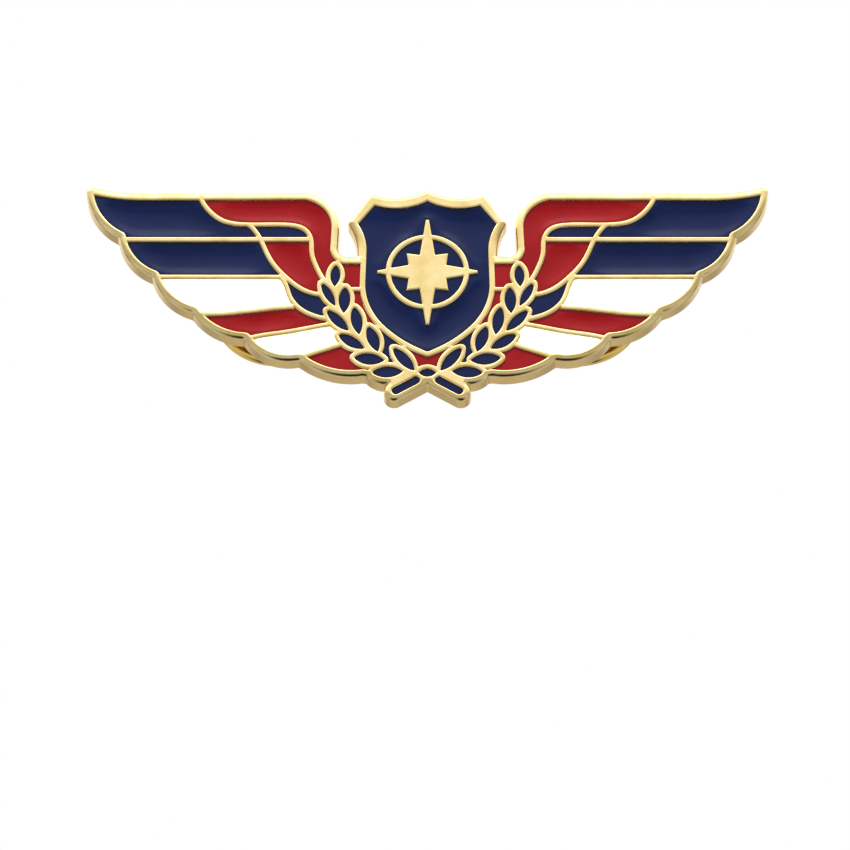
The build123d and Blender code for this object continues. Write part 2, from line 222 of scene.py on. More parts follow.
def smooth_outline(loop, step=OUTLINE_STEP):
    """The same outline with evenly spaced points: curved through gentle bends, exact at corners."""
    loop = loop[np.linalg.norm(np.roll(loop, -1, axis=0) - loop, axis=1) > SHORTEST_EDGE]
    ahead, length = edges_of(loop)
    behind, back_length = np.roll(ahead, 1, axis=0), np.roll(length, 1)
    tangents = (ahead * back_length[:, None] + behind * length[:, None])
    long_ahead = length > LONG_SHARE * back_length
    long_behind = back_length > LONG_SHARE * length
    tangents[long_ahead] = ahead[long_ahead]
    tangents[long_behind] = behind[long_behind]
    tangents /= np.linalg.norm(tangents, axis=1)[:, None] + TINY
    count = len(loop)
    smooth = []
    for i in range(count):
        j = (i + 1) % count
        start, end, size, along = loop[i], loop[j], length[i], ahead[i]
        turns = [turn_between(behind[k], ahead[k]) for k in (i, j)]
        ends = []
        for k, turn in zip((i, j), turns):
            off_line = abs(turn_between(tangents[k], along))
            bends_too_much = abs(turn) > CORNER_TURN or (off_line > SWERVE and size > LONG_EDGE)
            ends.append(along if bends_too_much else tangents[k])
        pieces = max(1, round(size / step))
        for n in range(pieces):
            t = n / pieces
            smooth.append(
                start * (2 * t**3 - 3 * t**2 + 1) + ends[0] * size * (t**3 - 2 * t**2 + t)
                + end * (3 * t**2 - 2 * t**3) + ends[1] * size * (t**3 - t**2))
    return np.array(smooth)


def offset_points(loop, distance, inwards):
    """Points at a distance from a counterclockwise outline, fanned out round the corners that need it."""
    ahead, _ = edges_of(loop)
    behind = np.roll(ahead, 1, axis=0)
    side = 1 if inwards else -1
    found = []
    for point, before, after in zip(loop, behind, ahead):
        turn = turn_between(before, after)
        first = math.atan2(before[0], -before[1]) if inwards else math.atan2(-before[0], before[1])
        opens = turn * side < -FAN_FROM
        rays = 1 + math.ceil(abs(turn) / FAN_STEP) if opens else 1
        for n in range(rays):
            share = n / (rays - 1) if rays > 1 else 0.5
            angle = first + turn * share
            found.append(point + distance * np.array((math.cos(angle), math.sin(angle))))
    return np.array(found)


class Borders:
    """Nearest place on a set of outlines."""

    def __init__(self, loops, parts=5):
        dense = []
        for loop in loops:
            ahead = np.roll(loop, -1, axis=0) - loop
            dense += [loop + ahead * (n / parts) for n in range(parts)]
        self.points = np.concatenate(dense)
        self.tree = kdtree.KDTree(len(self.points))
        for i, (x, y) in enumerate(self.points):
            self.tree.insert((x, y, 0), i)
        self.tree.balance()

    def nearest(self, points):
        """Distance to the outlines and the direction away from them, for each point."""
        reach = np.empty(len(points))
        away = np.empty((len(points), 2))
        for i, (x, y) in enumerate(points):
            found, _, reach[i] = self.tree.find((x, y, 0))
            away[i] = (x - found[0], y - found[1])
        size = np.linalg.norm(away, axis=1)
        size[size < TINY] = 1
        return reach, away / size[:, None]


def loop_normals(loop):
    """Outward directions at the points of a counterclockwise outline."""
    ahead, _ = edges_of(loop)
    along = ahead + np.roll(ahead, 1, axis=0)
    along /= np.linalg.norm(along, axis=1)[:, None] + TINY
    return np.stack((along[:, 1], -along[:, 0]), axis=1)


def inside(points, loops):
    """Even-odd test of many points against outlines."""
    starts = np.concatenate(loops)
    ends = np.concatenate([np.roll(loop, -1, axis=0) for loop in loops])
    odd = np.zeros(len(points), bool)
    slope = (ends[:, 0] - starts[:, 0]) / np.where(ends[:, 1] == starts[:, 1], 1, ends[:, 1] - starts[:, 1])
    order = np.argsort(points[:, 1])
    for block in np.array_split(order, max(1, len(points) // POINTS_AT_ONCE)):
        px, py = points[block, 0][:, None], points[block, 1][:, None]
        low, high = py.min(), py.max()
        near = (np.minimum(starts[:, 1], ends[:, 1]) <= high) & (np.maximum(starts[:, 1], ends[:, 1]) >= low)
        a, b, s = starts[near], ends[near], slope[near]
        spans = (a[:, 1] > py) != (b[:, 1] > py)
        crossings = spans & (px < a[:, 0] + (py - a[:, 1]) * s)
        odd[block] = crossings.sum(axis=1) % 2 == 1
    return odd


def triangulate(loops, extra):
    """Triangles between the outlines (even-odd), through extra points. The outlines' points come first."""
    points = np.concatenate(loops + ([extra] if len(extra) else []))
    edges, start = [], 0
    for loop in loops:
        edges += [(start + i, start + (i + 1) % len(loop)) for i in range(len(loop))]
        start += len(loop)
    found = delaunay_2d_cdt([Vector(p) for p in points], edges, [], 0, SAME_POINT, True)
    flat = np.array([v[:] for v in found[0]])
    origin = [sources[0] if sources else -1 for sources in found[3]]
    triangles = np.array(found[2])
    middles = flat[triangles].mean(axis=1)
    return flat, origin, triangles[inside(middles, loops)]


def ring_offsets(radius, steps):
    """Distances from an edge at which a quarter-round of that radius is sampled."""
    return [radius * (1 - math.cos(math.pi / 2 * n / steps)) for n in range(1, steps + 1)]


def quarter_round(reach, radius):
    """How far a rounded edge has dropped at a distance from it, and how far its normal leans out."""
    lean = 1 - np.clip(reach / radius, 0, 1)
    rise = np.sqrt(np.clip(1 - lean**2, 0, 1))
    return radius * (1 - rise), lean


# ================================================================ mesh helpers
def new_piece(name, verts, faces, materials, body, replaces=(), normals=None, face_slots=None):
    """A mesh object that rides on a body and stands for CAD nodes. Vertices come in mm."""
    mesh = bpy.data.meshes.new(name)
    corners = [tuple(int(i) for i in face) for face in faces]
    mesh.from_pydata([tuple(v) for v in np.asarray(verts) * MM], [], corners)
    for material in materials:
        mesh.materials.append(material)
    if face_slots is not None:
        mesh.polygons.foreach_set("material_index", np.asarray(face_slots, dtype=np.int32))
    mesh.polygons.foreach_set("use_smooth", np.ones(len(mesh.polygons), bool))
    mesh.update()
    if normals is not None:
        mesh.normals_split_custom_set_from_vertices([tuple(n) for n in normals])
    piece = bpy.data.objects.new(name, mesh)
    bpy.context.scene.collection.objects.link(piece)
    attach(piece, body)
    if replaces:
        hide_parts(*replaces)
    return piece


class MeshBuild:
    """Collects vertices, their normals, faces and each face's material place.
    With a seat, which is an origin and three axes, they are given in the seat's own frame."""

    def __init__(self, seat=((0, 0, 0), np.eye(3))):
        self.origin, self.axes = seat
        self.verts, self.normals, self.faces, self.slots = [], [], [], []
        self.count = 0

    def add(self, verts, normals):
        first = self.count
        self.verts.append(np.asarray(verts, float) @ self.axes + self.origin)
        self.normals.append(np.asarray(normals, float) @ self.axes)
        self.count += len(verts)
        return first

    def face(self, ring, slot=0):
        self.faces.append(ring)
        self.slots.append(slot)

    def cover(self, start, triangles, slot=0, flipped=False):
        for triangle in triangles:
            ring = tuple(start + corner for corner in triangle)
            self.face(ring[::-1] if flipped else ring, slot)

    def sides(self, loops, bottom, top, slot=0):
        """Walls between two covers that share their outlines. The first outline is outside."""
        first = 0
        for n, loop in enumerate(loops):
            for i in range(len(loop)):
                a, b = first + i, first + (i + 1) % len(loop)
                ring = (bottom[a], bottom[b], top[b], top[a])
                self.face(ring if n == 0 else ring[::-1], slot)
            first += len(loop)

    def piece(self, name, materials, body, slot, replaces):
        return new_piece(name, np.concatenate(self.verts), self.faces, materials, body, replaces,
                         normals=np.concatenate(self.normals), face_slots=self.slots)


def at_borders(origin, start):
    """The vertex of a cover that stands at each of its outlines' points."""
    return {source: start + i for i, source in enumerate(origin) if source >= 0}


def upright(flat, level):
    """(x, z) points as 3-D points at y = level, which may be one number or one for each point."""
    return np.stack((flat[:, 0], np.broadcast_to(level, len(flat)), flat[:, 1]), axis=1)


def rounded_face(loops, radius):
    """A flat face whose edges round off. Gives its points and triangles, how far each point has dropped,
    how far its normal leans, and the direction away from the nearest edge."""
    border = Borders(loops)
    extra = []
    for step in ring_offsets(radius, steps=3):
        for n, loop in enumerate(loops):
            points = offset_points(loop, step, n == 0)
            extra.append(points[border.nearest(points)[0] > step * OWN_BORDER - BORDER_SLACK])
    flat, origin, triangles = triangulate(loops, np.concatenate(extra))
    reach, away = border.nearest(flat)
    outward = np.concatenate([loop_normals(loop) * (1 if n == 0 else -1) for n, loop in enumerate(loops)])
    for i, source in enumerate(origin):
        if 0 <= source < len(outward):
            reach[i], away[i] = 0, -outward[source]
    drop, lean = quarter_round(reach, radius)
    return flat, origin, triangles, drop, lean, away


# ================================================================ the struck plate
def struck_face(outline, pockets, facings):
    """The front between the outline and the pockets: points, triangles, each point's height and normal.
    A pocket's facing is -1 if it is an island's outline, with the metal inside it, and 1 otherwise."""
    outer, inner = Borders([outline]), Borders(pockets)
    extra = []
    for step in ring_offsets(OUTER_ROUND, steps=6):
        extra.append(kept(offset_points(outline, step, True), step, outer, inner))
    for step in ring_offsets(RIDGE_ROUND, steps=4):
        for pocket, facing in zip(pockets, facings):
            extra.append(kept(offset_points(pocket, step, facing < 0), step, outer, inner))
    flat, origin, triangles = triangulate([outline] + pockets, np.concatenate(extra))
    out_reach, out_away = outer.nearest(flat)
    in_reach, in_away = inner.nearest(flat)
    count = len(outline)
    pocket_normals = [-facing * loop_normals(pocket) for pocket, facing in zip(pockets, facings)]
    borders = np.concatenate([loop_normals(outline)] + pocket_normals)
    for i, source in enumerate(origin):
        if 0 <= source < count:
            out_away[i], out_reach[i] = -borders[source], 0
        elif count <= source < len(borders):
            in_away[i], in_reach[i] = -borders[source], 0
    out_drop, out_lean = quarter_round(out_reach, OUTER_ROUND)
    in_drop, in_lean = quarter_round(in_reach, RIDGE_ROUND)
    takes_outer = out_drop >= in_drop
    drop = np.where(takes_outer, out_drop, in_drop)
    lean = np.where(takes_outer, out_lean, in_lean)
    away = np.where(takes_outer[:, None], out_away, in_away)
    rise = np.sqrt(1 - np.clip(lean, 0, 1)**2)
    normals = np.stack((-away[:, 0] * lean, -rise, -away[:, 1] * lean), axis=1)
    return flat, origin, triangles, -(FRONT - drop), normals


def kept(points, step, outer, inner):
    """The offset points that no other stretch of border comes nearer to."""
    reach = np.minimum(outer.nearest(points)[0], inner.nearest(points)[0])
    return points[reach > step * OWN_BORDER - BORDER_SLACK]


def struck_plate(materials):
    outline = smooth_outline(max(flat_outlines("badge_plate", BACK), key=area_of))
    groups = [group for node in enamel_nodes for group in grouped(flat_outlines(node, enamel_top))]
    groups = [[smooth_outline(loop) for loop in group] for group in groups]
    pockets = [loop for group in groups for loop in group]
    facings = [1 if n == 0 else -1 for group in groups for n in range(len(group))]
    flat, origin, triangles, level, normals = struck_face(outline, pockets, facings)
    build = MeshBuild()
    front = build.add(upright(flat, level), normals)
    at_border = at_borders(origin, front)
    build.cover(front, triangles)

    back_flat, back_origin, back_triangles, drop, lean, away = rounded_face([outline], BACK_ROUND)
    back_normals = np.stack((-away[:, 0] * lean, np.sqrt(1 - lean**2), -away[:, 1] * lean), axis=1)
    back = build.add(upright(back_flat, -drop), back_normals)
    build.cover(back, back_triangles, slot=1, flipped=True)

    build.sides([outline], at_borders(back_origin, back), at_border, slot=2)
    first = len(outline)
    for pocket, facing in zip(pockets, facings):
        add_wall(build, pocket, [at_border[first + i] for i in range(len(pocket))], facing)
        first += len(pocket)
    for group in groups:
        add_floor(build, group)
    return build.piece("badge_plate_struck", materials, "badge", "badge_gold", ["badge_plate"])


def add_wall(build, pocket, rim, facing):
    """A pocket's wall, from its rim's vertices down to the floor."""
    inward = -facing * loop_normals(pocket)
    foot = build.add(upright(pocket, -(FRONT - POCKET_FLOOR)), upright(inward, 0))
    for i in range(len(pocket)):
        j = (i + 1) % len(pocket)
        build.face((rim[i], rim[j], foot + j, foot + i)[::facing])


def add_floor(build, group):
    """The floor of a pocket, round its islands."""
    flat, _, triangles = triangulate(group, np.empty((0, 2)))
    floor = build.add(upright(flat, -(FRONT - POCKET_FLOOR)), np.tile((0, -1, 0), (len(flat), 1)))
    build.cover(floor, triangles)


# ================================================================ soft enamel
enamel_nodes = sorted(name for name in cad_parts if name.startswith("enamel_"))
enamel_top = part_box(enamel_nodes[0])[0].y / MM


def settled_surface(flat, loops):
    """Height and slope of liquid enamel at (x, z) points: each bit of wall lifts what is near it."""
    starts = np.concatenate(loops)
    steps = np.concatenate([np.roll(loop, -1, axis=0) for loop in loops]) - starts
    parts = 6
    walls = np.concatenate([starts + steps * ((n + 0.5) / parts) for n in range(parts)])
    weight = np.tile(np.linalg.norm(steps, axis=1) / parts, parts) / (2 * ENAMEL_REACH)
    lift = np.empty(len(flat))
    slope = np.empty((len(flat), 2))
    for block in np.array_split(np.arange(len(flat)), max(1, len(flat) // POINTS_AT_ONCE)):
        apart = flat[block][:, None, :] - walls[None, :, :]
        reach = np.linalg.norm(apart, axis=2) + TINY
        pull = weight * np.exp(-reach / ENAMEL_REACH)
        lift[block] = pull.sum(axis=1)
        slope[block] = -np.einsum("ij,ijk->ik", pull / reach / ENAMEL_REACH, apart)
    fade = np.exp(-np.maximum(lift - 1, 0) / ENAMEL_CROWD)
    climb = np.minimum(lift - 1, 0) + ENAMEL_CROWD * (1 - fade)
    return ENAMEL_DIP * climb, ENAMEL_DIP * slope * fade[:, None]


def grid_inside(loops, border, spacing, clear):
    """Evenly spaced points inside the outlines, clear of their edges."""
    low, high = loops[0].min(axis=0), loops[0].max(axis=0)
    rows = np.arange(low[1], high[1], spacing * ROW_SHARE)
    points = []
    for n, z in enumerate(rows):
        x = np.arange(low[0] + (n % 2) * spacing / 2, high[0], spacing)
        points.append(np.stack((x, np.full(len(x), z)), axis=1))
    points = np.concatenate(points)
    points = points[inside(points, loops)]
    return points[border.nearest(points)[0] > clear] if len(points) else points


def enamel_fill(name, colour):
    """A pocket's enamel: it climbs the walls and settles lower in the middle."""
    build = MeshBuild()
    for group in grouped(flat_outlines(name, enamel_top)):
        loops = [smooth_outline(outline) for outline in group]
        border = Borders(loops)
        extra = [grid_inside(loops, border, ENAMEL_GRID, ENAMEL_GRID_CLEAR)]
        for step in ENAMEL_RINGS:
            for n, outline in enumerate(loops):
                points = offset_points(outline, step, n == 0)
                extra.append(points[border.nearest(points)[0] > step * OWN_WALL])
        flat, origin, triangles = triangulate(loops, np.concatenate(extra))
        height, slope = settled_surface(flat, loops)
        normals = np.stack((-slope[:, 0], np.full(len(flat), -1.0), -slope[:, 1]), axis=1)
        normals /= np.linalg.norm(normals, axis=1)[:, None]
        top = build.add(upright(flat, -(FRONT - ENAMEL_RIM + height)), normals)
        build.cover(top, triangles)
        floor_flat, floor_origin, floor_triangles = triangulate(loops, np.empty((0, 2)))
        floor_normals = np.tile((0, 1, 0), (len(floor_flat), 1))
        floor = build.add(upright(floor_flat, -(FRONT - POCKET_FLOOR)), floor_normals)
        build.cover(floor, floor_triangles, flipped=True)
        build.sides(loops, at_borders(floor_origin, floor), at_borders(origin, top))
    return build.piece(f"{name}_settled", [enamels[colour]], "badge", f"enamel_{colour}", [name])


def grouped(outlines):
    """Outlines as [outer, hole, ...] groups, one for each separate area."""
    outlines = sorted(outlines, key=area_of, reverse=True)
    groups = []
    for loop in outlines:
        for group in groups:
            if inside(loop[:1], [group[0]])[0]:
                group.append(loop)
                break
        else:
            groups.append([loop])
    return groups


# ================================================================ materials
NOISE_MIDDLE = (0.3, 0.7)  # most of a noise's values lie between these
RELIEF = 0.00001           # depth of a grain or a ripple, metres
BROAD_SHARE = 0.06         # scale of a gold's slow change of colour, as a share of its grain's
CLOUD_SCALE = 420.0        # of the enamel's slow change of colour
RIPPLE_SCALE = 1500.0      # of its unevenness
RIPPLE_STRENGTH = 0.15
ENAMEL_ROUGHNESS = (0.1, 0.16)
ENAMEL_IOR = 1.5
ENAMEL_SPECULAR = 0.15


def new_material(name):
    material = bpy.data.materials.new(name)
    material.use_nodes = True
    tree = material.node_tree
    shader = tree.nodes["Principled BSDF"]
    return material, tree, shader


def coordinates(tree, stretch=(1, 1, 1)):
    """Object coordinates, stretched."""
    source = tree.nodes.new("ShaderNodeTexCoord")
    mapping = tree.nodes.new("ShaderNodeMapping")
    mapping.inputs["Scale"].default_value = stretch
    tree.links.new(source.outputs["Object"], mapping.inputs["Vector"])
    return mapping.outputs["Vector"]


def noise(tree, vector, scale, detail=3.0):
    made = tree.nodes.new("ShaderNodeTexNoise")
    made.inputs["Scale"].default_value = scale
    made.inputs["Detail"].default_value = detail
    tree.links.new(vector, made.inputs["Vector"])
    return made.outputs["Fac"]


def ramp(tree, value, low, high):
    """Spreads the middle of a noise's range over low to high."""
    made = tree.nodes.new("ShaderNodeMapRange")
    made.inputs["From Min"].default_value = NOISE_MIDDLE[0]
    made.inputs["From Max"].default_value = NOISE_MIDDLE[1]
    made.inputs["To Min"].default_value = low
    made.inputs["To Max"].default_value = high
    tree.links.new(value, made.inputs["Value"])
    return made.outputs["Result"]


def tint(tree, value, dark, light):
    """A colour between dark and light, by a value."""
    made = tree.nodes.new("ShaderNodeMix")
    made.data_type = "RGBA"
    made.inputs["A"].default_value = (*dark, 1)
    made.inputs["B"].default_value = (*light, 1)
    tree.links.new(value, made.inputs["Factor"])
    return made.outputs["Result"]


def bump(tree, shader, value, strength):
    made = tree.nodes.new("ShaderNodeBump")
    made.inputs["Strength"].default_value = strength
    made.inputs["Distance"].default_value = RELIEF
    tree.links.new(value, made.inputs["Height"])
    tree.links.new(made.outputs["Normal"], shader.inputs["Normal"])


def gold(name, dark, light, rough_low, rough_high, grain, strength, stretch=(1, 1, 1)):
    """Gold plate with a grain of its own: fine and even, or drawn out into brushing."""
    material, tree, shader = new_material(name)
    fine = noise(tree, coordinates(tree, stretch), grain)
    broad = noise(tree, coordinates(tree), grain * BROAD_SHARE)
    tree.links.new(tint(tree, ramp(tree, broad, 0, 1), dark, light), shader.inputs["Base Color"])
    tree.links.new(ramp(tree, fine, rough_low, rough_high), shader.inputs["Roughness"])
    bump(tree, shader, fine, strength)
    shader.inputs["Metallic"].default_value = 1.0
    return material


def enamel(name, dark, light):
    """Glossy soft enamel with a faint unevenness from the oven."""
    material, tree, shader = new_material(name)
    where = coordinates(tree)
    cloud = noise(tree, where, CLOUD_SCALE, detail=4.0)
    ripple = noise(tree, where, RIPPLE_SCALE, detail=2.0)
    tree.links.new(tint(tree, ramp(tree, cloud, 0, 1), dark, light), shader.inputs["Base Color"])
    tree.links.new(ramp(tree, ripple, *ENAMEL_ROUGHNESS), shader.inputs["Roughness"])
    bump(tree, shader, ripple, RIPPLE_STRENGTH)
    shader.inputs["IOR"].default_value = ENAMEL_IOR
    shader.inputs["Specular IOR Level"].default_value = ENAMEL_SPECULAR
    return material


satin_gold = gold("satin_gold", (0.78, 0.58, 0.22), (0.95, 0.77, 0.40), 0.14, 0.28, 9000.0, strength=0.35)
brushed_gold = gold("brushed_gold", (0.91, 0.705, 0.335), (0.94, 0.74, 0.37), 0.14, 0.30, 14000.0,
                    strength=0.35, stretch=(1, 1, 0.03))
wall_gold = gold("wall_gold", (0.87, 0.61, 0.23), (0.94, 0.69, 0.29), 0.28, 0.4, 5000.0, strength=0.15)
shell_gold = gold("shell_gold", (0.89, 0.62, 0.15), (0.94, 0.67, 0.19), 0.05, 0.09, 2500.0, strength=0.04)
# the disc's gold is paler and brighter than the shell's, though both are the clutch's one gold: painted
# light, lifting the shade in the gap under the clutch and its orange reflection in the back plate
disc_gold_painted_light = gold("disc_gold_painted_light", (0.96, 0.68, 0.22), (0.99, 0.74, 0.27), 0.52, 0.62, 2500.0, strength=0.1)
spring_gold = gold("spring_gold", (0.84, 0.55, 0.11), (0.90, 0.61, 0.15), 0.07, 0.13, 3500.0, strength=0.06)
post_gold = gold("post_gold", (0.84, 0.62, 0.22), (0.90, 0.68, 0.27), 0.12, 0.2, 6000.0, strength=0.12)
solder_metal = gold("solder_metal", (0.72, 0.60, 0.34), (0.80, 0.68, 0.42), 0.22, 0.36, 3000.0, strength=0.3)
enamels = {
    "navy": enamel("enamel_navy", (0.0013, 0.0032, 0.018), (0.0018, 0.0042, 0.022)),
    "red": enamel("enamel_red", (0.092, 0.0012, 0.002), (0.108, 0.002, 0.003)),
    "white": enamel("enamel_white", (0.86, 0.86, 0.85), (0.92, 0.92, 0.91)),
}

# ================================================================ the badge
struck_plate([satin_gold, brushed_gold, wall_gold])
for name in enamel_nodes:
    colour = next(word for word in enamels if word in name.split("_"))
    enamel_fill(name, colour)

# ================================================================ turned, drawn and bent metal
def unit(vector):
    return vector / np.linalg.norm(vector)


def turned_by(vector, angle):
    c, s = math.cos(angle), math.sin(angle)
    return np.array((vector[0] * c - vector[1] * s, vector[0] * s + vector[1] * c))


def filleted(points, radii):
    """A bent line with its corners rounded by the radii: places along it and the directions there."""
    points = [np.array(point, float) for point in points]
    places, ways = [points[0]], [unit(points[1] - points[0])]
    for before, corner, after, radius in zip(points, points[1:], points[2:], radii):
        way_in, way_out = unit(corner - before), unit(after - corner)
        turn = turn_between(way_in, way_out)
        start = corner - way_in * radius * math.tan(abs(turn) / 2)
        to_middle = turned_by(way_in, math.copysign(math.pi / 2, turn)) * radius
        steps = max(2, math.ceil(abs(turn) / ARC_STEP))
        for n in range(steps + 1):
            part = turn * n / steps
            places.append(start + to_middle - turned_by(to_middle, part))
            ways.append(turned_by(way_in, part))
    places.append(points[-1])
    ways.append(unit(points[-1] - points[-2]))
    return np.array(places), np.array(ways)


def turned(build, profile, first=None, last=None, whole=False):
    """Rings of faces from a profile of (radius, height), traced with its outside on the right."""
    around = np.arange(TURNS) * 2 * math.pi / TURNS
    across = np.stack((np.cos(around), np.sin(around)), axis=1)
    rings = [first] if first else []
    places, ways = profile
    for (radius, height), (out, up) in zip(places, ways):
        count = TURNS if radius > TINY else 1
        start = build.add(
            np.column_stack((across * radius, np.full(TURNS, height)))[:count],
            np.column_stack((across * up, np.full(TURNS, -out)))[:count])
        rings.append([start + k % count for k in range(TURNS)])
    if last:
        rings.append(last)
    if whole:
        rings.append(rings[0])
    for low, high in zip(rings, rings[1:]):
        for k in range(TURNS):
            j = (k + 1) % TURNS
            corners = tuple(dict.fromkeys((low[k], low[j], high[j], high[k])))
            if len(corners) > 2:
                build.face(corners)


def slab(build, loops, low, high, radius):
    """A flat plate between two heights, with rounded edges. The outlines after the first are holes."""
    covers = []
    for level, facing in ((high, 1), (low, -1)):
        flat, origin, triangles, drop, lean, away = rounded_face(loops, radius)
        rise = facing * np.sqrt(1 - lean**2)
        start = build.add(np.column_stack((flat, level - facing * drop)),
                          np.column_stack((-away * lean[:, None], rise)))
        build.cover(start, triangles, flipped=facing < 0)
        covers.append(at_borders(origin, start))
    top, bottom = covers
    build.sides(loops, bottom, top)


def bent_strip(build, path, half_thick, half_wide, bevel):
    """A strip of sheet along a path of (v, height), with rounded ends and edges."""
    places, ways = path
    end_turns = [math.radians(a) for a in END_TURNS]
    spine = [(places[0], ways[0], -a) for a in end_turns]
    spine += [(place, way, 0) for place, way in zip(places, ways)]
    spine += [(places[-1], ways[-1], a) for a in reversed(end_turns)]
    rings = []
    for side, tilts in ((-1, EDGE_TILTS), (1, EDGE_TILTS[::-1])):
        for tilt in map(math.radians, tilts):
            thick = half_thick - bevel * (1 - math.cos(tilt))
            u = side * (half_wide - bevel * (1 - math.sin(tilt)))
            verts, normals = [], []
            for face_side in (1, -1):
                for place, way, end in spine[::face_side]:
                    off = turned_by(way, math.pi / 2) * face_side
                    at = place + way * thick * math.sin(end) + off * thick * math.cos(end)
                    lean = (off * math.cos(end) + way * math.sin(end)) * math.cos(tilt)
                    verts.append((u, *at))
                    normals.append((side * math.sin(tilt), *lean))
            start = build.add(verts, normals)
            rings.append(range(start, start + len(verts)))
    count = len(spine)
    for near, far in zip(rings, rings[1:]):
        for i in range(2 * count):
            j = (i + 1) % (2 * count)
            build.face((near[i], far[i], far[j], near[j]))
    for ring, facing in ((rings[0], 1), (rings[-1], -1)):
        for i in range(count - 1):
            corners = (ring[i], ring[i + 1], ring[2 * count - 2 - i], ring[2 * count - 1 - i])
            build.face(corners[::facing])


# ================================================================ posts and clutches
def seat_of(side, flipped=1):
    """The origin and axes of a clutch's own (u, v, height): the post's foot, and u along the bridge."""
    low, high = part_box(f"post_{side}")
    origin = np.array(((low.x + high.x) / 2, 0, (low.z + high.z) / 2)) / MM
    turn = math.radians(BRIDGE_ANGLE[side])
    along = np.array((math.cos(turn), 0, math.sin(turn)))
    across = np.array((math.sin(turn), 0, -math.cos(turn)))
    return origin, np.array((along * flipped, across * flipped, (0, 1, 0)))


def circle(radius, count, middle=(0, 0)):
    around = np.arange(count) * 2 * math.pi / count
    return np.stack((middle[0] + radius * np.cos(around), middle[1] + radius * np.sin(around)), axis=1)


def on_dome(flat, depth, outward, lean, towards):
    """Places and normals on the dome for points of its flattened sheet, some way in from its outside.
    The normals lean towards a direction of the sheet."""
    reach = np.linalg.norm(flat, axis=1) + TINY
    way = flat / reach[:, None]
    angle = reach / DOME_R
    sin, cos = np.sin(angle)[:, None], np.cos(angle)[:, None]
    straight = np.hstack((way * sin, cos))
    places = straight * (DOME_R - depth)[:, None] + (0, 0, DOME_MIDDLE)
    downhill = np.hstack((way * cos, -sin))
    sideways = np.column_stack((-way[:, 1], way[:, 0], np.zeros(len(flat))))
    along = (towards * way).sum(axis=1)[:, None] * downhill
    along += (way[:, 0] * towards[:, 1] - way[:, 1] * towards[:, 0])[:, None] * sideways
    normals = straight * np.sqrt(1 - lean**2)[:, None] * outward + along * lean[:, None]
    return places, normals


def opening_outline(side):
    """A finger opening on the dome's flattened sheet."""
    seen = circle(1, OPENING_POINTS) * (OPENING_LONG / 2, OPENING_WIDE / 2) + (0, side * OPENING_OFFSET)
    reach = np.linalg.norm(seen, axis=1)
    return seen * (DOME_R * np.arcsin(reach / DOME_R) / reach)[:, None]


def shell_dome(build):
    """The dome's two skins, which meet in turned-in lips round the openings. Gives their lowest rings."""
    loops = [circle(DOME_R * DOME_EDGE, TURNS)] + [opening_outline(side) for side in (1, -1)]
    openings = Borders(loops[1:])
    extra = [grid_inside(loops, Borders(loops), DOME_GRID, LIP_ROUND)]
    for step in ring_offsets(LIP_ROUND, steps=7):
        extra += [offset_points(loop, step, False) for loop in loops[1:]]
    flat, origin, triangles = triangulate(loops, np.concatenate(extra))
    reach, away = openings.nearest(flat)
    borders = np.concatenate([np.zeros((TURNS, 2))] + [loop_normals(loop) for loop in loops[1:]])
    for i, source in enumerate(origin):
        if TURNS <= source < len(borders):
            reach[i], away[i] = 0, borders[source]
    drop, lean = quarter_round(reach, LIP_ROUND)
    hang = np.clip(1 - reach / LIP_ROUND, 0, 1)
    skins = []
    for depth, outward, tilt in (
            (drop, 1, lean),
            (SHELL_THICK + (LIP_ROUND + LIP_EDGE - SHELL_THICK) * hang**2, -1, hang * LIP_LEAN)):
        start = build.add(*on_dome(flat, depth, outward, tilt, -away * outward))
        build.cover(start, triangles, flipped=outward < 0)
        skins.append(at_borders(origin, start))
    outer, inner = skins
    first = TURNS
    for loop in loops[1:]:
        for i in range(len(loop)):
            a, b = first + i, first + (i + 1) % len(loop)
            build.face((outer[a], inner[a], inner[b], outer[b])[::-1])
        first += len(loop)
    return [outer[i] for i in range(TURNS)], [inner[i] for i in range(TURNS)]


def clutch_shell(side):
    """The drawn shell: a dome with two finger openings, a groove, and a rim rolled round the base disc."""
    build = MeshBuild(seat_of(side))
    outer, inner = shell_dome(build)
    sin, cos = math.sin(DOME_EDGE), math.cos(DOME_EDGE)
    outer_end = np.array((DOME_R * sin, DOME_MIDDLE + DOME_R * cos))
    inner_end = outer_end - np.array((sin, cos)) * SHELL_THICK
    downhill = np.array((cos, -sin))
    profile = filleted((
        inner_end,
        inner_end + downhill * (inner_end[1] - ROOF_LOW) / sin,
        (COLLAR_R, ROOF_LOW), (COLLAR_R, LIP_TOP), (LIP_R, LIP_TOP), (LIP_R, CLOTH_GAP),
        (RIM_R, CLOTH_GAP), (RIM_R, RIM_TOP), (GROOVE_R, RIM_TOP), (GROOVE_R, GROOVE_FLOOR),
        outer_end + downhill * (outer_end[1] - GROOVE_FLOOR) / sin,
        outer_end,
    ), SHELL_BENDS)
    turned(build, (profile[0][1:-1], profile[1][1:-1]), first=inner, last=outer)
    return build.piece(f"clutch_shell_{side}_drawn", [shell_gold], f"clutch_cap_{side}", "clutch_gold",
                       [f"clutch_shell_{side}"])


def base_disc(side):
    """The disc that closes the shell, with a collar round the post's hole."""
    build = MeshBuild(seat_of(side))
    low, high, hole = DISC_LOW, DISC_TOP, DISC_HOLE_R
    underside = (DISC_R - 1, low)
    profile = filleted((
        underside, (DISC_R, low), (DISC_R, high), (hole, high), (hole, low - COLLAR_DEEP),
        (hole + COLLAR_WIDE, low - COLLAR_DEEP), (hole + COLLAR_FOOT, low), underside,
    ), DISC_BENDS)
    turned(build, (profile[0][:-1], profile[1][:-1]), whole=True)
    return build.piece(f"clutch_base_disc_{side}_turned", [disc_gold_painted_light], f"clutch_base_{side}", "clutch_gold",
                       [f"clutch_base_disc_{side}"])


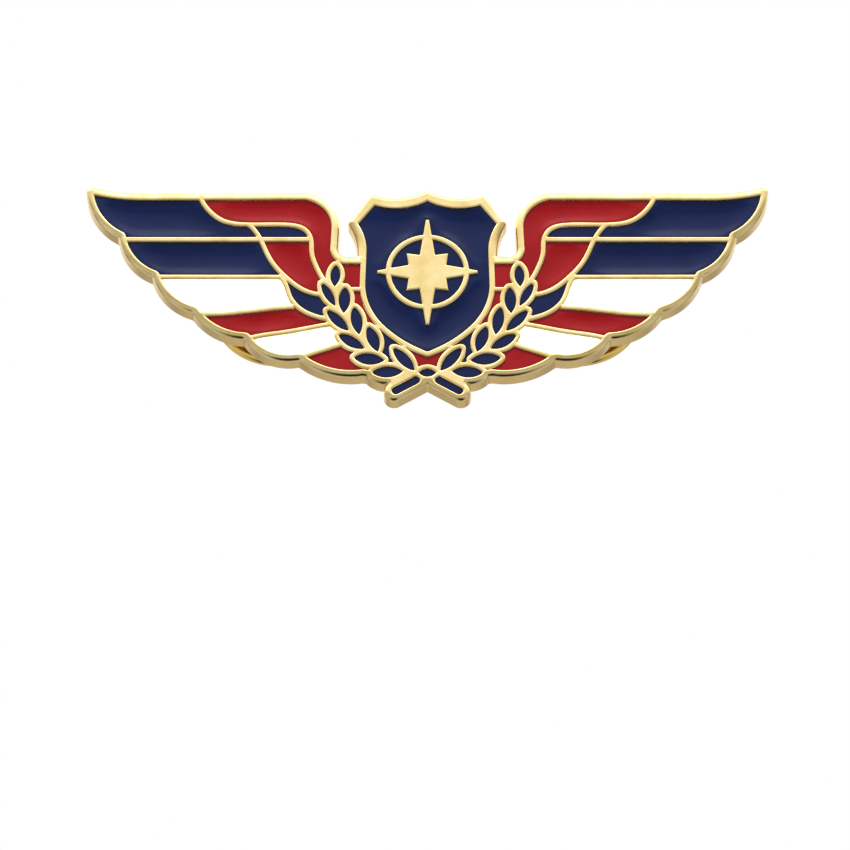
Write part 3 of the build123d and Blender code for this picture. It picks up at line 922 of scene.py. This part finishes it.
def web_corners(near, far):
    """An oblong as wide as the web, between two values of v, with small rounded corners."""
    half = WEB_WIDE / 2
    corners = ((0, near), (half, near), (half, far), (-half, far), (-half, near), (0, near))
    ring = filleted(corners, (WEB_CORNER,) * 4)
    return counterclockwise(smooth_outline(ring[0][:-1], WEB_STEP))


def spring_web(side):
    """The spring's flat strip, its thin end tabs and the rib that each wing rocks on."""
    build = MeshBuild(seat_of(side))
    half_long = WEB_LONG / 2
    web = [web_corners(-half_long, half_long), circle(DISC_HOLE_R, count=40)]
    slab(build, web, WEB_LOW, WEB_TOP, WEB_ROUND)
    tab_far = math.sqrt(DISC_R**2 - (WEB_WIDE / 2)**2)
    tab_near = half_long - TAB_OVERLAP
    slab(build, [web_corners(tab_near, tab_far)], WEB_LOW, ROOF_LOW, TAB_ROUND)
    slab(build, [web_corners(-tab_far, -tab_near)], WEB_LOW, ROOF_LOW, TAB_ROUND)
    for across in (1, -1):
        foot = (across * RIB_AT, WEB_TOP - RIB_SINK)
        top = (across * RIB_AT, RIB_TOP - RIB_THICK / 2)
        bent_strip(build, filleted((foot, top), ()), RIB_THICK / 2, WING_WIDE / 2, TAB_ROUND)
    return build.piece(f"clutch_spring_web_{side}_formed", [spring_gold], f"clutch_cap_{side}", "spring_gold",
                       [f"clutch_spring_web_{side}"])


def spring_wing(side, letter):
    """A wing of the spring: from its jaw at the post, over the rib, up to its ear in the opening."""
    build = MeshBuild(seat_of(side, 1 if letter == "a" else -1))
    path = filleted((JAW, FULCRUM, EAR), (WING_BEND,))
    bent_strip(build, path, SPRING_THICK / 2, WING_WIDE / 2, WING_ROUND)
    return build.piece(f"clutch_wing_{letter}_{side}_formed", [spring_gold], f"wing_{letter}_{side}",
                       "spring_gold", [f"clutch_wing_{letter}_{side}"])


def turned_post(side):
    """The pin: a stout foot, a groove for the clutch's jaws and a pointed end."""
    build = MeshBuild(seat_of(side))
    root = [(0, 0), (POST_ROOT_R, 0), (POST_ROOT_R, POST_ROOT_LONG), (POST_R, POST_ROOT_LONG + POST_STEP)]
    groove = [
        (POST_R, POST_GROOVE_LOW), (POST_GROOVE_R, POST_GROOVE_LOW + POST_GROOVE_SLOPE),
        (POST_GROOVE_R, POST_GROOVE_HIGH - POST_GROOVE_SLOPE), (POST_R, POST_GROOVE_HIGH),
    ]
    point = [(POST_R, POST_LONG - POST_POINT_LONG), (POST_POINT_R, POST_LONG), (0, POST_LONG)]
    turned(build, filleted(root + groove + point, POST_BENDS))
    return build.piece(f"post_{side}_turned", [post_gold], "badge", "post_gold", [f"post_{side}"])


def solder_ring(side):
    """The fillet of solder round a post's foot."""
    build = MeshBuild(seat_of(side))
    underside = (SOLDER_START_R, 0)
    profile = filleted((
        underside, (SOLDER_R, 0), SOLDER_HOLLOW, (POST_ROOT_R + SOLDER_LIP, SOLDER_HIGH),
        (SOLDER_INNER_R, SOLDER_HIGH), (SOLDER_INNER_R, 0), underside,
    ), SOLDER_BENDS)
    turned(build, (profile[0][:-1], profile[1][:-1]), whole=True)
    return build.piece(f"solder_fillet_{side}_run", [solder_metal], "badge", "solder",
                       [f"solder_fillet_{side}"])


for side in SIDES:
    turned_post(side)
    solder_ring(side)
    base_disc(side)
    clutch_shell(side)
    spring_web(side)
    for letter in ("a", "b"):
        spring_wing(side, letter)

# ================================================================ stage, light and camera
FLOOR_Z = -0.26           # below the camera, which looks up at the badge
FLOOR_REACH = 3.0
CAMERA_REACH = 0.42
CAMERA_TILT = math.radians(-25)
VIEW_WIDTH = 0.0699       # what the picture spans at the badge
AIM = Vector((-0.0002, 0.0, -0.01199))
SENSOR = 36.0
CLIP_START = 0.01


def plane(name, corners, material):
    mesh = bpy.data.meshes.new(name)
    mesh.from_pydata(corners, [], [tuple(range(len(corners)))])
    mesh.materials.append(material)
    made = bpy.data.objects.new(name, mesh)
    made.visible_glossy = False
    bpy.context.scene.collection.objects.link(made)
    return made


def pale(name):
    material, tree, shader = new_material(name)
    cloud = noise(tree, coordinates(tree), scale=3.0)
    tree.links.new(tint(tree, cloud, (0.93, 0.93, 0.92), (0.96, 0.96, 0.95)), shader.inputs["Base Color"])
    shader.inputs["Roughness"].default_value = 0.9
    return material


def area_light(name, place_at, aim_at, size, power):
    lamp = bpy.data.lights.new(name, "AREA")
    lamp.shape = "RECTANGLE"
    lamp.size, lamp.size_y = size
    lamp.energy = power
    holder = bpy.data.objects.new(name, lamp)
    holder.location = place_at
    holder.rotation_euler = (Vector(aim_at) - Vector(place_at)).to_track_quat("-Z", "Y").to_euler()
    holder.visible_glossy = False
    bpy.context.scene.collection.objects.link(holder)
    return holder


LIGHT_SCALE = 4.0          # the curve's own values stay under 1
# each pair is a height, from -1 below to 1 overhead, and the brightness there
FRONT_LIGHT = (
    (-1.0, 0.01), (-0.92, 0.03), (-0.82, 0.3), (-0.6, 0.6), (-0.42, 0.7), (-0.3, 0.6), (-0.15, 0.5),
    (0.0, 0.6), (0.12, 0.5), (0.22, 0.42), (0.34, 0.9), (0.42, 1.08), (0.55, 1.3), (0.68, 1.6),
    (0.78, 3.5), (0.88, 3.5), (0.95, 1.2), (1.0, 0.8))
BACK_LIGHT = (
    (-1.0, 0.01), (-0.92, 0.04), (-0.82, 0.5), (-0.6, 0.62), (-0.42, 0.68), (-0.22, 0.55), (-0.16, 0.22),
    (-0.06, 0.22), (0.02, 0.7), (0.2, 0.9), (0.38, 1.1), (0.55, 1.2), (0.72, 1.2),
    (0.78, 3.4), (0.88, 3.4), (0.95, 1.2), (1.0, 0.8))
FRONT_TO_BACK = 2.5        # how quickly the front's light gives way to the back's across the middle


def light_by_height(tree, height, stops):
    """Brightness of the studio by how high a direction points, from -1 below to 1 overhead."""
    curve = tree.nodes.new("ShaderNodeFloatCurve")
    points = curve.mapping.curves[0].points
    while len(points) < len(stops):
        points.new(0.5, 0.5)
    for point, (at, value) in zip(points, stops):
        point.location = ((at + 1) / 2, value / LIGHT_SCALE)
        point.handle_type = "VECTOR"
    curve.mapping.update()
    tree.links.new(height, curve.inputs["Value"])
    return curve.outputs["Value"]


def calc(tree, operation, *values, clamp=False):
    made = tree.nodes.new("ShaderNodeMath")
    made.operation = operation
    made.use_clamp = clamp
    for socket, value in zip(made.inputs, values):
        if hasattr(value, "links"):
            tree.links.new(value, socket)
        else:
            socket.default_value = value
    return made.outputs["Value"]


def studio_light(tree):
    """A soft room: bright overhead, dark below in front, paler below behind, and a plain white backdrop."""
    background = tree.nodes["Background"]
    where = tree.nodes.new("ShaderNodeTexCoord")
    split = tree.nodes.new("ShaderNodeSeparateXYZ")
    tree.links.new(where.outputs["Generated"], split.inputs["Vector"])
    height = calc(tree, "MULTIPLY_ADD", split.outputs["Z"], 0.5, 0.5)   # -1 to 1 becomes 0 to 1
    front = light_by_height(tree, height, FRONT_LIGHT)
    behind = light_by_height(tree, height, BACK_LIGHT)
    share = calc(tree, "MULTIPLY_ADD", split.outputs["Y"], FRONT_TO_BACK, 0.5, clamp=True)
    room = tree.nodes.new("ShaderNodeMix")
    tree.links.new(share, room.inputs["Factor"])
    tree.links.new(front, room.inputs["A"])
    tree.links.new(behind, room.inputs["B"])
    scaled = calc(tree, "MULTIPLY", room.outputs["Result"], LIGHT_SCALE)
    seen = tree.nodes.new("ShaderNodeLightPath")
    final = tree.nodes.new("ShaderNodeMix")
    tree.links.new(seen.outputs["Is Camera Ray"], final.inputs["Factor"])
    tree.links.new(scaled, final.inputs["A"])
    final.inputs["B"].default_value = 1.0
    tree.links.new(final.outputs["Result"], background.inputs["Strength"])
    background.inputs["Color"].default_value = (1, 1, 1, 1)


def build_stage():
    corners = [(x * FLOOR_REACH, y * FLOOR_REACH, FLOOR_Z) for x, y in ((-1, -1), (1, -1), (1, 1), (-1, 1))]
    plane("floor", corners, pale("pale_floor"))
    world = bpy.data.worlds.new("studio")
    bpy.context.scene.world = world
    world.use_nodes = True
    studio_light(world.node_tree)
    area_light("key", (-0.08, -0.24, 0.52), (0, 0, 0), size=(0.2, 0.06), power=13.0)
    area_light("back_key", (0.08, 0.24, 0.52), (0, 0, 0), size=(0.26, 0.10), power=8.0)


def build_camera():
    lens = bpy.data.cameras.new("camera")
    camera = bpy.data.objects.new("camera", lens)
    bpy.context.scene.collection.objects.link(camera)
    away = Vector((0, -math.cos(CAMERA_TILT), math.sin(CAMERA_TILT)))
    camera.location = AIM + away * CAMERA_REACH
    camera.rotation_euler = (-away).to_track_quat("-Z", "Y").to_euler()
    lens.sensor_width = SENSOR
    lens.lens = SENSOR * CAMERA_REACH / VIEW_WIDTH
    lens.clip_start = CLIP_START
    bpy.context.scene.camera = camera


build_stage()
build_camera()
bpy.context.scene.view_settings.view_transform = "Standard"
